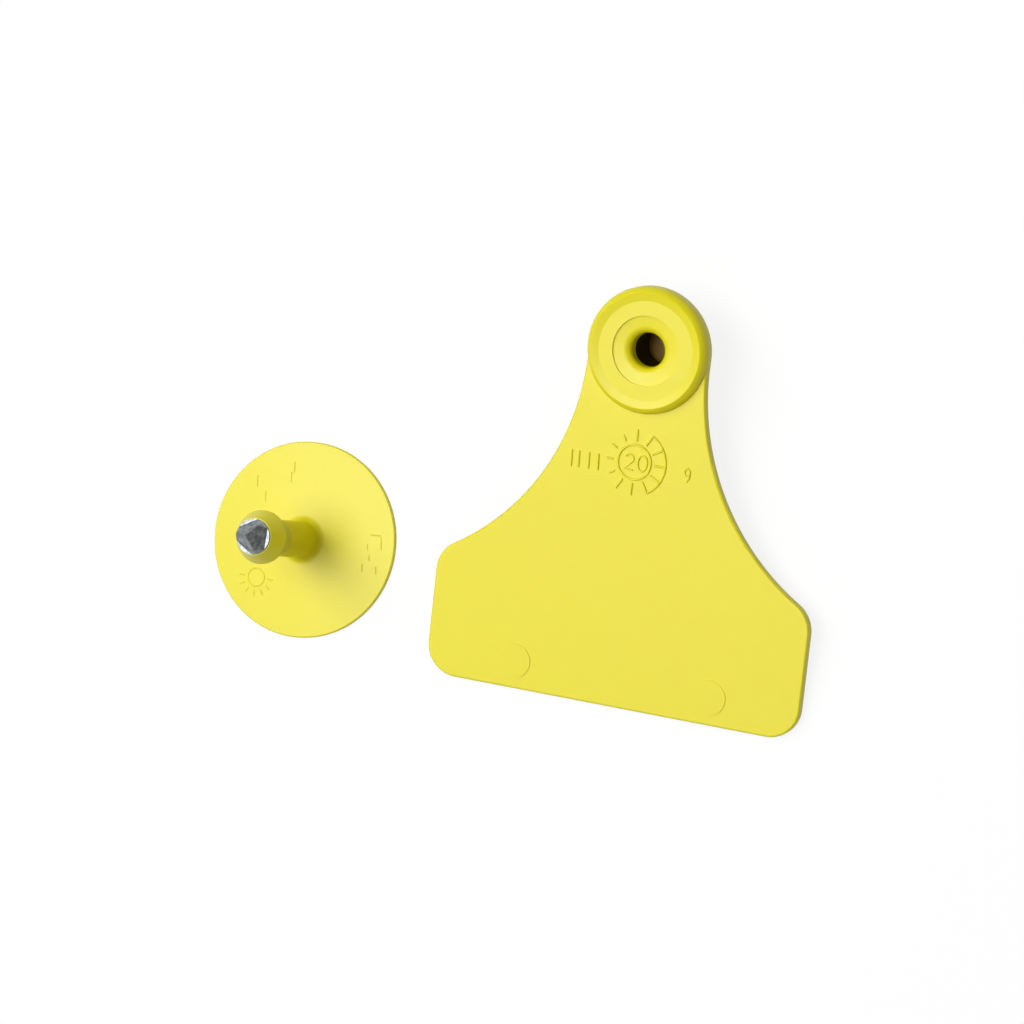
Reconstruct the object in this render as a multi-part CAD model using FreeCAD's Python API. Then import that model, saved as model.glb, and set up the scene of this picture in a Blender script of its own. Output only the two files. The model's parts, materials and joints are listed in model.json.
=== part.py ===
import FreeCAD, Part
import math
import os

# Two-part livestock ear tag, lying unassembled on a flat surface. The panel is a flexible flag
# moulded in one with a round collar, whose funnel and throat open into a closed cap behind it.
# The stud is a flexible disc and post with an arrow head, moulded round a metal piercing tip.
# Closed through an ear, the head sits in the cap's chamber and the neck turns in the throat.
# Millimetres. +X runs from the stud to the panel, +Y towards the collar, +Z up. The origin is
# on the surface, under the middle of the whole tag.

V = FreeCAD.Vector

# Panel: its outline, seen from the front. The side and flank heights are from the bottom edge.
panel_width = 56.0
panel_height = 59.65
panel_thickness = 1.3
panel_edge_round = 0.3        # on the front, the back edge is the sharp parting line of the mould
side_height = 17.8            # to where the straight side and the flank would meet if sharp
flank_radius = 35.0
shoulder_radius = 4.6
corner_radius = 4.5
top_radius = 8.9              # round end of the panel, concentric with the collar

# Ejector pads, a pair of faintly raised circles near the bottom edge
pad_spacing = 29.4
pad_from_edge = 3.95
pad_radius = 2.45
pad_height = 0.12

# Collar, with heights above the panel's front face. Its wall swells out to the panel's round end.
rim_radius = 8.05
rim_height = 1.42
face_radius = 6.95
face_height = 1.15

# Funnel, from a small step at its mouth down to the throat
mouth_radius = 4.9
mouth_step = 0.26
funnel_slope = 7.0            # degrees from the collar's face
funnel_lip_round = 1.05
throat_radius = 2.44
throat_length = 1.2

# Closed cap behind the panel
cap_wall = 1.3
cap_floor = 1.0
cap_end_chamfer = 0.6
cap_root_chamfer = 0.8
chamber_straight = 2.2
chamber_floor_radius = 2.9
chamber_corner = 0.5

# Stud, with heights above the disc's flat back
disc_radius = 14.1
disc_thickness = 1.3          # at the post, thinning to the edge
disc_edge_thickness = 0.65
disc_edge_break = 0.15
post_radius = 2.6
post_foot_round = 1.1
neck_length = 3.4
neck_taper = 1.0
shoulder_height = 15.5
head_radius = 3.8
head_band = 0.5
head_edge_break = 0.2
head_top_height = 18.5

# Applicator bore, up the stud from the disc's back
bore_radius = 1.5
bore_chamfer = 0.5
bore_web = 1.0                # flexible material left between the bore's end and the metal shank

# Piercing tip: a flanged, tapered rod end with ground faces, and a barbed shank below
tip_radius = 2.5
tip_seat_depth = 0.25
tip_flange = 0.6
tip_height = 3.2              # the point above the seat
tip_end_radius = 1.6          # what the rod would taper to at the point, if it weren't ground
tip_face_angle = 38.0         # each ground face from the axis, in degrees
tip_face_count = 3
shank_radius = 1.1
shank_length = 2.2
barb_count = 2
barb_depth = 0.3

# Clearances and layout
neck_clearance = 0.12         # neck in the throat, each side
head_clearance = 0.3          # head in the chamber, each side
point_clearance = 0.25        # metal point to the chamber's floor
head_lip = 0.15               # flexible ring round the metal flange
stud_gap = 7.9                # between the disc's edge and the panel's side
stud_above_edge = 15.22       # disc's centre above the panel's bottom edge, along the surface

# Sizes that follow from those above
collar_to_edge = panel_height - top_radius
neck_radius = throat_radius - neck_clearance
seat_height = head_top_height - tip_seat_depth
point_height = seat_height + tip_height
chamber_radius = head_radius + head_clearance
chamber_depth = point_height - shoulder_height + point_clearance


def on_circle(centre, radius, degrees):
    """A point on a circle, in the two coordinates that the centre is given in."""
    angle = math.radians(degrees)
    return (centre[0] + radius * math.cos(angle), centre[1] + radius * math.sin(angle))


def bend(centre, radius, start, end):
    """An arc of a lathe section: its first, middle and last point."""
    return [on_circle(centre, radius, degrees) for degrees in (start, (start + end) / 2, end)]


def lathe(*steps):
    """Turn a closed half section, made of points (radius, height) and bends, about +Z."""
    edges = []
    steps = [step if isinstance(step, list) else [step] for step in steps]
    at = V(steps[-1][-1][0], 0, steps[-1][-1][1])
    for step in steps:
        points = [V(radius, 0, height) for radius, height in step]
        if at.distanceToPoint(points[0]) > 1e-6:
            edges.append(Part.LineSegment(at, points[0]).toShape())
        if len(points) == 3:
            edges.append(Part.Arc(*points).toShape())
        at = points[-1]
    return Part.Face(Part.Wire(edges)).revolve(V(0, 0, 0), V(0, 0, 1), 360)


def flat_arc(centre, radius, start, end):
    """An arc of the panel's outline, in the plane of its front face."""
    circle = Part.Circle(V(centre[0], centre[1], 0), V(0, 0, 1), radius)
    return Part.ArcOfCircle(circle, math.radians(start), math.radians(end)).toShape()


def flat_line(start, end):
    return Part.LineSegment(V(start[0], start[1], 0), V(end[0], end[1], 0)).toShape()


def direction(start, end):
    """The direction from one point to another, in degrees."""
    return math.degrees(math.atan2(end[1] - start[1], end[0] - start[0]))


def flank_centre():
    """Centre of the hollow flank: its circle touches the round end and meets the side's top."""
    corner = (panel_width / 2, side_height - collar_to_edge)
    to_corner = math.hypot(*corner)
    reach = flank_radius + top_radius
    along = (reach ** 2 - flank_radius ** 2 + to_corner ** 2) / (2 * to_corner)
    across = math.sqrt(reach ** 2 - along ** 2)
    return ((along * corner[0] - across * corner[1]) / to_corner,
            (along * corner[1] + across * corner[0]) / to_corner)


def panel_outline():
    """Tangent outline about the collar's centre: the right half and its mirror image."""
    half_width = panel_width / 2
    flank = flank_centre()
    shoulder_x = half_width - shoulder_radius
    reach = flank_radius + shoulder_radius
    shoulder = (shoulder_x, flank[1] - math.sqrt(reach ** 2 - (flank[0] - shoulder_x) ** 2))
    corner = (half_width - corner_radius, corner_radius - collar_to_edge)
    half = [
        flat_line((0, -collar_to_edge), (corner[0], -collar_to_edge)),
        flat_arc(corner, corner_radius, -90, 0),
        flat_line((half_width, corner[1]), (half_width, shoulder[1])),
        flat_arc(shoulder, shoulder_radius, 0, direction(shoulder, flank)),
        flat_arc(flank, flank_radius, direction(flank, (0, 0)), direction(flank, shoulder) + 360),
        flat_arc((0, 0), top_radius, direction((0, 0), flank), 90),
    ]
    other = [edge.mirror(V(0, 0, 0), V(1, 0, 0)) for edge in half]
    return Part.Face(Part.Wire(Part.__sortEdges__(half + other)))


def flat_plate(outline):
    """The flag itself, with its front edge rounded."""
    plate = outline.extrude(V(0, 0, -panel_thickness))
    rim = [edge for edge in plate.Edges if edge.BoundBox.ZMin > -panel_thickness / 2]
    return plate.makeFillet(min(panel_edge_round, 0.9 * panel_thickness), rim)


def collar():
    """Dished ring in front of the panel, its wall swelling from the rim to the round end."""
    overhang = top_radius - rim_radius
    swell = (rim_height ** 2 + overhang ** 2) / (2 * overhang)
    swell_centre = (top_radius - swell, 0)
    rim_angle = direction(swell_centre, (rim_radius, rim_height))
    return lathe(
        (0, -panel_thickness / 2),
        (top_radius, -panel_thickness / 2),
        bend(swell_centre, swell, 0, rim_angle),
        (face_radius, face_height),
        (0, face_height),
    )


def funnel_heights():
    """Where the funnel's cone meets its rounded lip, and the top of the throat."""
    slope = math.radians(funnel_slope)
    lip_edge = throat_radius + funnel_lip_round * (1 - math.sin(slope))
    cone_end = face_height - mouth_step - (mouth_radius - lip_edge) * math.tan(slope)
    return cone_end, cone_end - funnel_lip_round * math.cos(slope)


ledge_height = funnel_heights()[1] - throat_length
chamber_end = ledge_height - chamber_depth
cap_end = chamber_end - cap_floor
cap_end_radius = chamber_floor_radius + cap_wall
cap_foot_radius = cap_end_radius - cap_end_chamfer


def cap():
    """Closed cap behind the panel, straight and then tapering to a flat end."""
    outer = chamber_radius + cap_wall
    return lathe(
        (0, cap_end),
        (cap_foot_radius, cap_end),
        (cap_end_radius, cap_end + cap_end_chamfer),
        (outer, ledge_height - chamber_straight),
        (outer, -panel_thickness - cap_root_chamfer),
        (outer + cap_root_chamfer, -panel_thickness),
        (outer + cap_root_chamfer, -panel_thickness / 2),
        (0, -panel_thickness / 2),
    )


def stud_way():
    """The space that the stud's head goes through: funnel, throat and chamber."""
    throat_top = funnel_heights()[1]
    lip_centre = (throat_radius + funnel_lip_round, throat_top)
    above = rim_height + 1
    return lathe(
        (0, above),
        (mouth_radius, above),
        (mouth_radius, face_height - mouth_step),
        bend(lip_centre, funnel_lip_round, 90 + funnel_slope, 180),
        (throat_radius, ledge_height),
        (chamber_radius, ledge_height),
        (chamber_radius, ledge_height - chamber_straight),
        (chamber_floor_radius, chamber_end + chamber_corner),
        (chamber_floor_radius - chamber_corner, chamber_end),
        (0, chamber_end),
    )


def tag_panel():
    """The whole panel about its collar's centre, front face at height 0."""
    outline = panel_outline()
    below = V(0, 0, -panel_thickness)
    trim = outline.translated(below).extrude(V(0, 0, panel_thickness + rim_height + 1))
    pad_y = pad_from_edge - collar_to_edge
    pads = [
        Part.makeCylinder(pad_radius, panel_thickness / 2 + pad_height, V(x, pad_y, -panel_thickness / 2))
        for x in (-pad_spacing / 2, pad_spacing / 2)
    ]
    solid = flat_plate(outline).fuse([collar().common(trim), cap()] + pads)
    return solid.removeSplitter().cut(stud_way())


def resting_tilt():
    """Degrees that the panel leans: it rests on its bottom edge and on the rim of the cap's flat end."""
    drop = -panel_thickness - cap_end
    return math.degrees(math.atan2(drop, collar_to_edge - cap_foot_radius))


def lay_panel(solid):
    """Lean the panel on its cap, with its bottom edge on the surface."""
    solid.rotate(V(0, 0, 0), V(1, 0, 0), resting_tilt())
    return solid.translated(V(0, 0, -solid.optimalBoundingBox().ZMin))


def tip_shank():
    """Flange and barbed shank that the stud is moulded round, about the stud's axis."""
    pitch = shank_length / barb_count
    foot = seat_height - shank_length
    barbs = []
    for barb in range(barb_count):
        barbs += [(shank_radius - barb_depth, foot + barb * pitch)]
        barbs += [(shank_radius, foot + (barb + 1) * pitch)]
    return lathe(
        (0, foot),
        *barbs,
        (tip_radius, seat_height),
        (tip_radius, seat_height + tip_flange),
        (0, seat_height + tip_flange),
    )


def tip_point():
    """Tapered rod end with evenly spaced ground faces, on the flange. One face looks to +X."""
    base = seat_height + tip_flange
    face_reach = (point_height - base) * math.tan(math.radians(tip_face_angle))
    turn = 360 / tip_face_count
    corner_reach = face_reach / math.cos(math.radians(turn / 2))
    corners = [on_circle((0, 0), corner_reach, (face + 0.5) * turn) for face in range(tip_face_count)]
    ring = Part.makePolygon([V(x, y, base) for x, y in corners + corners[:1]])
    pyramid = Part.makeLoft([ring, Part.Vertex(0, 0, point_height)], True, True)
    return pyramid.common(Part.makeCone(tip_radius, tip_end_radius, point_height - base, V(0, 0, base)))


def stud_button():
    """Disc, post, neck and arrow head about the stud's axis, back of the disc at height 0."""
    neck_foot = shoulder_height - neck_length
    foot_centre = (post_radius + post_foot_round, disc_thickness + post_foot_round)
    body = lathe(
        (0, 0),
        (disc_radius, 0),
        (disc_radius, disc_edge_thickness - disc_edge_break),
        (disc_radius - disc_edge_break, disc_edge_thickness),
        bend(foot_centre, post_foot_round, 270, 180),
        (post_radius, neck_foot - neck_taper),
        (neck_radius, neck_foot),
        (neck_radius, shoulder_height),
        (head_radius - head_edge_break, shoulder_height),
        (head_radius, shoulder_height + head_edge_break),
        (head_radius, shoulder_height + head_band),
        (tip_radius + head_lip, head_top_height),
        (0, head_top_height),
    )
    bore_end = seat_height - shank_length - bore_web
    bore = lathe(
        (0, 0),
        (bore_radius + bore_chamfer, 0),
        (bore_radius, bore_chamfer),
        (bore_radius, bore_end),
        (0, bore_end),
    )
    return body.cut([bore, tip_shank()])


panel = lay_panel(tag_panel())
stud_x = -(panel_width / 2 + stud_gap + disc_radius)
panel_edge = panel.optimalBoundingBox().YMin
stud_place = V(stud_x, panel_edge + stud_above_edge, 0)
pieces = {
    "tag_panel": panel,
    "stud_button": stud_button().translated(stud_place),
    "piercing_tip": tip_shank().fuse(tip_point()).removeSplitter().translated(stud_place),
}

middle = Part.makeCompound(list(pieces.values())).optimalBoundingBox().Center
os.makedirs("parts", exist_ok=True)
for name, solid in pieces.items():
    solid.translated(V(-middle.x, -middle.y, 0)).exportStep("parts/" + name + ".step")
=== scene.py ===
import bpy
import json
import math
from mathutils import Matrix, Vector


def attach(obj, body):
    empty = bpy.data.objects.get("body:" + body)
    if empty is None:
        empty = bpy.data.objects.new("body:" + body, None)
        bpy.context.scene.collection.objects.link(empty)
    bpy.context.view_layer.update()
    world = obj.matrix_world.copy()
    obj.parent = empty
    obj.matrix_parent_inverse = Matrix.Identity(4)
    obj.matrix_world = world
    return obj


# A two-part cattle ear tag, laid out unassembled: the flag panel leaning on its closed cap, and
# the stud standing on its disc beside it. Metres, in the frame of the solids.

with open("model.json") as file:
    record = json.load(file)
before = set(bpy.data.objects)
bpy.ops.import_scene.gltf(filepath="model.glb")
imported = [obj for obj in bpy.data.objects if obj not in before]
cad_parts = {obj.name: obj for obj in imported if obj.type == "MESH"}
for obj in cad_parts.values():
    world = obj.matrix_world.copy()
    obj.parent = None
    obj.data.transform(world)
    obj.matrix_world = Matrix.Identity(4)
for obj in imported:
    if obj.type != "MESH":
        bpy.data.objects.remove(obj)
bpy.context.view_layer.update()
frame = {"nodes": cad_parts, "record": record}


# ---- Camera -------------------------------------------------------------------------------
# A long lens, well above the tag and a little to its right, turned so that the panel's
# bottom edge runs down to the right.

MM = 0.001

aim = Vector((-1.35, -5.14, 0.0)) * MM
camera_distance = 708.0 * MM
camera_azimuth = math.radians(95.2)      # 0 stands in front of the tag, 90 to its right
camera_elevation = math.radians(69.2)
camera_roll = math.radians(9.5)

back = Vector((
    math.sin(camera_azimuth) * math.cos(camera_elevation),
    -math.cos(camera_azimuth) * math.cos(camera_elevation),
    math.sin(camera_elevation),
))
bpy.ops.object.camera_add(location=aim + back * camera_distance)
camera = bpy.context.object
camera.data.lens = 175.8
camera.data.sensor_width = 36.0
level = Vector((0, 1, 0)).cross(back).normalized()
upright = Matrix((level, back.cross(level), back)).transposed()
camera.rotation_euler = (upright @ Matrix.Rotation(camera_roll, 3, "Z")).to_euler()
bpy.context.scene.camera = camera


# ---- Table and light ----------------------------------------------------------------------
# A plain white table in a bright white room, under a soft lamp overhead and one at the upper
# left, with a card that adds only its reflection. The table is shown near white to the camera,
# and keeps the tag's own soft shadow.

WHITE = (1, 1, 1, 1)


def linear(hex_colour):
    """A written sRGB colour as the linear colour that the shaders take."""
    parts = [int(hex_colour[i:i + 2], 16) / 255 for i in (1, 3, 5)]
    turned = [p / 12.92 if p <= 0.04045 else ((p + 0.055) / 1.055) ** 2.4 for p in parts]
    return (*turned, 1.0)


def add_node(tree, kind, inputs=(), **settings):
    """Adds a shader node with its settings, and its inputs set to values or linked to sockets."""
    node = tree.nodes.new(kind)
    for name, value in settings.items():
        setattr(node, name, value)
    for name, value in dict(inputs).items():
        if isinstance(value, bpy.types.NodeSocket):
            tree.links.new(value, node.inputs[name])
        else:
            node.inputs[name].default_value = value
    return node


def new_material(name):
    """An empty material, its node tree and its output node."""
    material = bpy.data.materials.new(name)
    material.use_nodes = True
    tree = material.node_tree
    tree.nodes.clear()
    return material, tree, tree.nodes.new("ShaderNodeOutputMaterial")


table_material, tree, output = new_material("white_table_laminate")
seen = add_node(tree, "ShaderNodeLightPath")
lit = add_node(tree, "ShaderNodeBsdfDiffuse", {"Color": linear("#6a6a6a")})
glow = add_node(tree, "ShaderNodeEmission", {"Color": WHITE, "Strength": 0.86})
shown = add_node(tree, "ShaderNodeAddShader", {0: lit.outputs[0], 1: glow.outputs[0]})
plain = add_node(tree, "ShaderNodeBsdfDiffuse", {"Color": linear("#b8b8b8")})
either = add_node(tree, "ShaderNodeMath", {
    0: seen.outputs["Is Camera Ray"], 1: seen.outputs["Is Glossy Ray"],
}, operation="MAXIMUM")
table_mix = add_node(tree, "ShaderNodeMixShader", {
    0: either.outputs[0], 1: plain.outputs[0], 2: shown.outputs[0],
})
tree.links.new(table_mix.outputs[0], output.inputs["Surface"])

bpy.ops.mesh.primitive_plane_add(size=6.0)
table = bpy.context.object
table.name = "table"
table.data.materials.append(table_material)

world = bpy.data.worlds.new("white_room")
bpy.context.scene.world = world
world.use_nodes = True
room = world.node_tree.nodes["Background"]
room.inputs["Color"].default_value = WHITE
room.inputs["Strength"].default_value = 0.22


def soft_lamp(name, azimuth, elevation, size, energy):
    """A round soft lamp a metre away: azimuth from +X, counter-clockwise seen from above."""
    azimuth, elevation = math.radians(azimuth), math.radians(elevation)
    towards = Vector((
        math.cos(azimuth) * math.cos(elevation),
        math.sin(azimuth) * math.cos(elevation),
        math.sin(elevation),
    ))
    bpy.ops.object.light_add(type="AREA", location=towards)
    lamp = bpy.context.object
    lamp.name = name
    lamp.data.shape = "DISK"
    lamp.data.size = size
    lamp.data.energy = energy
    lamp.rotation_euler = towards.to_track_quat("Z", "Y").to_euler()
    return lamp


soft_lamp("overhead_softbox", azimuth=175, elevation=80, size=0.6, energy=6.0)
soft_lamp("side_softbox", azimuth=152, elevation=52, size=0.5, energy=3.0)
card = soft_lamp("reflector_card", azimuth=208, elevation=66, size=0.9, energy=3.0)
card.visible_diffuse = False
bpy.context.scene.view_settings.view_transform = "Standard"


# ---- Panel --------------------------------------------------------------------------------
# The flag, collar and cap are one injection moulding of pigmented flexible polyurethane. It
# has a satin face, and light scatters a little way into it, so its shade stays warm.

def moulded_polyurethane(name, colour_light, colour_deep):
    """Satin yellow polyurethane, its colour drifting a little: material, tree and shader."""
    material, tree, output = new_material(name)
    place = add_node(tree, "ShaderNodeTexCoord")
    drift = add_node(tree, "ShaderNodeTexNoise", {
        "Vector": place.outputs["Object"], "Scale": 0.06 / MM, "Detail": 2.0,
    })
    colour = add_node(tree, "ShaderNodeMix", {"Factor": drift.outputs["Fac"]}, data_type="RGBA")
    colour.inputs["A"].default_value = linear(colour_light)
    colour.inputs["B"].default_value = linear(colour_deep)
    grain = add_node(tree, "ShaderNodeTexNoise", {
        "Vector": place.outputs["Object"], "Scale": 4.0 / MM, "Detail": 3.0,
    })
    bump = add_node(tree, "ShaderNodeBump", {
        "Height": grain.outputs["Fac"], "Strength": 0.15, "Distance": 0.02 * MM,
    })
    shader = add_node(tree, "ShaderNodeBsdfPrincipled", {
        "Base Color": colour.outputs["Result"], "Roughness": 0.42, "IOR": 1.5,
        "Subsurface Weight": 0.25, "Subsurface Radius": (1.0, 0.8, 0.1),
        "Subsurface Scale": 0.8 * MM, "Normal": bump.outputs["Normal"],
    })
    tree.links.new(shader.outputs[0], output.inputs["Surface"])
    return material, tree, shader


def paint(node_name, material):
    """Gives a solid's own mesh its finish."""
    mesh = frame["nodes"][node_name].data
    mesh.materials.clear()
    mesh.materials.append(material)


panel_material, tree, shader = moulded_polyurethane(
    "moulded_yellow_polyurethane", "#eadf08", "#e8dc04")
paint("tag_panel", panel_material)

# The closed chamber behind the throat gets painted shade, for the little light that reaches it:
# its wall is painted near black and its floor a dark brownish yellow. Both are measured in the
# throat's own frame.
throat = next(mount for mount in frame["record"]["mounts"] if mount["name"] == "stud_throat")
throat_centre = Vector(throat["pos_m"])
throat_axis = Vector(throat["axis"])
chamber_depth = 3.7 * MM                 # of the chamber's centre, below the throat's
chamber_half_length = 3.15 * MM
chamber_radius = 4.6 * MM
floor_depth = 2.85 * MM                  # of the chamber's floor, below its centre
chamber_centre = throat_centre - throat_axis * chamber_depth

place = add_node(tree, "ShaderNodeTexCoord")
from_chamber = add_node(tree, "ShaderNodeMapping", {
    "Vector": place.outputs["Object"], "Location": chamber_centre,
    "Rotation": (math.atan2(-throat_axis.y, throat_axis.z), 0, 0),
}, vector_type="TEXTURE")
parts = add_node(tree, "ShaderNodeSeparateXYZ", {"Vector": from_chamber.outputs["Vector"]})
along = add_node(tree, "ShaderNodeMath", {0: parts.outputs["Z"]}, operation="ABSOLUTE")
in_length = add_node(tree, "ShaderNodeMath", {
    0: along.outputs[0], 1: chamber_half_length,
}, operation="LESS_THAN")
flat = add_node(tree, "ShaderNodeCombineXYZ", {"X": parts.outputs["X"], "Y": parts.outputs["Y"]})
across = add_node(tree, "ShaderNodeVectorMath", {0: flat.outputs[0]}, operation="LENGTH")
in_round = add_node(tree, "ShaderNodeMath", {
    0: across.outputs["Value"], 1: chamber_radius,
}, operation="LESS_THAN")
inside = add_node(tree, "ShaderNodeMath", {
    0: in_length.outputs[0], 1: in_round.outputs[0],
}, operation="MULTIPLY")
above_floor = add_node(tree, "ShaderNodeMath", {
    0: parts.outputs["Z"], 1: -floor_depth,
}, operation="GREATER_THAN")
# Painted shade: near black on the chamber's wall, dark brownish yellow on its floor.
painted_chamber_shade = add_node(tree, "ShaderNodeMix", {"Factor": above_floor.outputs[0]}, data_type="RGBA")
painted_chamber_shade.inputs["A"].default_value = linear("#9a7800")
painted_chamber_shade.inputs["B"].default_value = linear("#3a2c04")
# The painted shade takes the place of the panel's colour inside the chamber.
colour_with_painted_shade = add_node(tree, "ShaderNodeMix", {
    "Factor": inside.outputs[0], "B": painted_chamber_shade.outputs["Result"],
}, data_type="RGBA")
tree.links.new(shader.inputs["Base Color"].links[0].from_socket, colour_with_painted_shade.inputs["A"])
tree.links.new(colour_with_painted_shade.outputs["Result"], shader.inputs["Base Color"])


# ---- Marks on the panel -------------------------------------------------------------------
# Plain raised moulding marks below the collar, of the panel's own material: a date dial, with
# a ring, spokes and a number, then four strokes to its left and a cavity number to its right.

def on_surface(node_name, centre, right_by, up_by):
    """The place on a solid's upper face, so many millimetres right of and above a centre. Its
    Z points outwards and its X to the right."""
    above = Vector((centre.x + right_by * MM, centre.y + up_by * MM, 1))
    _, point, normal, _ = frame["nodes"][node_name].ray_cast(above, Vector((0, 0, -1)))
    right = Vector((0, 1, 0)).cross(normal).normalized()
    place = Matrix((right, normal.cross(right), normal)).transposed().to_4x4()
    place.translation = point
    return place


def arc(centre, radius, start, end, squeeze=1.0):
    """Points along an arc from one angle to another, in degrees, its width squeezed."""
    count = max(2, round(abs(end - start) / 12))
    turns = [math.radians(start + (end - start) * step / count) for step in range(count + 1)]
    return [(centre[0] + radius * squeeze * math.cos(t), centre[1] + radius * math.sin(t))
            for t in turns]


def spoke(degrees, inner, outer):
    """A radial stroke of a dial."""
    return arc((0, 0), inner, degrees, degrees)[:1] + arc((0, 0), outer, degrees, degrees)[:1]


def raised_mark(name, strokes, place, material, width=0.3, lift=0.06):
    """Half-round raised strokes through points in millimetres, as one piece on a solid's face."""
    curve = bpy.data.curves.new(name, "CURVE")
    curve.dimensions = "3D"
    curve.bevel_depth = width / 2 * MM
    curve.bevel_resolution = 2
    curve.use_fill_caps = True
    for points in strokes:
        closed = math.dist(points[0], points[-1]) < 0.001
        points = points[:-1] if closed else points
        spline = curve.splines.new("POLY")
        spline.points.add(len(points) - 1)
        for point, (x, y) in zip(spline.points, points):
            point.co = (x * MM, y * MM, lift * MM, 1)
        spline.use_cyclic_u = closed
    drawn = bpy.data.objects.new(name + "_curve", curve)
    bpy.context.collection.objects.link(drawn)
    bpy.context.view_layer.update()
    mesh = bpy.data.meshes.new_from_object(drawn)
    bpy.data.objects.remove(drawn)
    mesh.transform(place)
    mesh.materials.clear()
    mesh.materials.append(material)
    mesh.polygons.foreach_set("use_smooth", [True] * len(mesh.polygons))
    piece = bpy.data.objects.new(name, mesh)
    bpy.context.collection.objects.link(piece)
    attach(piece, "root")


dial_place = on_surface("tag_panel", throat_centre, -0.13, -15.77)
dial_ring = 2.45
spoke_inner = 2.95
spoke_outer = 4.65
worn_inner = 3.2                         # of the four spokes that hardly show
worn_outer = 4.1

dial = [arc((0, 0), dial_ring, 0, 360)]
dial += [spoke(degrees, spoke_inner, spoke_outer) for degrees in range(-120, 91, 30)]
dial += [spoke(degrees, worn_inner, worn_outer) for degrees in (120, 150, 180, 210)]
dial += [arc((0, 0), spoke_outer, -60, 60)]
raised_mark("date_dial", dial, dial_place, panel_material)

two = arc((-0.78, 0.42), 0.62, 160, -35) + [(-1.45, -1.1), (-0.1, -1.15)]
nought = arc((1.2, 0.0), 1.1, 0, 360, squeeze=0.62)
raised_mark("date_number", [two, nought], dial_place, panel_material, width=0.26)

bars = [[(x, 0.3), (x + 0.1, -2.0)] for x in (-9.4, -8.3, -6.8, -5.4)]
raised_mark("left_strokes", bars, dial_place, panel_material)

nine = [arc((7.9, -0.15), 0.5, 0, 360, squeeze=0.8), [(8.3, -0.15), (8.25, -0.9), (7.9, -1.5)]]
raised_mark("cavity_number", nine, dial_place, panel_material, width=0.26)


# ---- Stud ---------------------------------------------------------------------------------
# The disc, post and head are one moulding of the same polyurethane, with a small date dial and
# two worn groups of strokes on the disc.

paint("stud_button", panel_material)
bore = next(mount for mount in frame["record"]["mounts"] if mount["name"] == "applicator_bore")
stud_axis = Vector(bore["pos_m"])

small_dial = [arc((0, 0), 1.3, 0, 360)]
small_dial += [spoke(degrees, 1.9, 2.7) for degrees in range(-180, 1, 30)]
raised_mark("stud_dial", small_dial, on_surface("stud_button", stud_axis, -6.27, -6.55),
            panel_material, width=0.24, lift=-0.05)

right_strokes = [
    [(-1.5, 0.4), (-1.3, -0.4)], [(-1.0, -1.1), (-0.8, -1.9)], [(-1.8, -2.5), (-1.6, -3.6)],
    [(0.3, -2.5), (0.5, -3.6)], [(0.4, 1.7), (0.7, -0.1)], [(-1.3, 1.8), (0.3, 1.9)],
]
raised_mark("stud_right_strokes", right_strokes, on_surface("stud_button", stud_axis, 11.4, 0.6),
            panel_material, width=0.22, lift=-0.05)

left_tops = ((-2.7, 0.4), (-1.0, -1.5), (2.5, 1.8), (2.7, 3.3))
left_strokes = [[(x, y), (x + 0.2, y - 1.5)] for x, y in left_tops]
raised_mark("stud_left_strokes", left_strokes, on_surface("stud_button", stud_axis, -6.0, 7.5),
            panel_material, width=0.22, lift=-0.05)


# ---- Piercing tip -------------------------------------------------------------------------
# A small steel casting with ground faces, tumbled afterwards, so that it is dull and mottled.

def cast_metal(name):
    """Dull cast steel, mottled in spots of about a millimetre."""
    material, tree, output = new_material(name)
    place = add_node(tree, "ShaderNodeTexCoord")
    mottle = add_node(tree, "ShaderNodeTexNoise", {
        "Vector": place.outputs["Object"], "Scale": 1.5 / MM, "Detail": 4.0,
    })
    ramp = add_node(tree, "ShaderNodeValToRGB", {"Fac": mottle.outputs["Fac"]})
    ramp.color_ramp.elements[0].position = 0.35
    ramp.color_ramp.elements[0].color = linear("#70767a")
    ramp.color_ramp.elements[1].position = 0.65
    ramp.color_ramp.elements[1].color = linear("#a4a9ad")
    shader = add_node(tree, "ShaderNodeBsdfPrincipled", {
        "Base Color": ramp.outputs["Color"], "Roughness": 0.5, "Metallic": 1.0,
    })
    tree.links.new(shader.outputs[0], output.inputs["Surface"])
    return material


paint("piercing_tip", cast_metal("ground_tip_steel"))
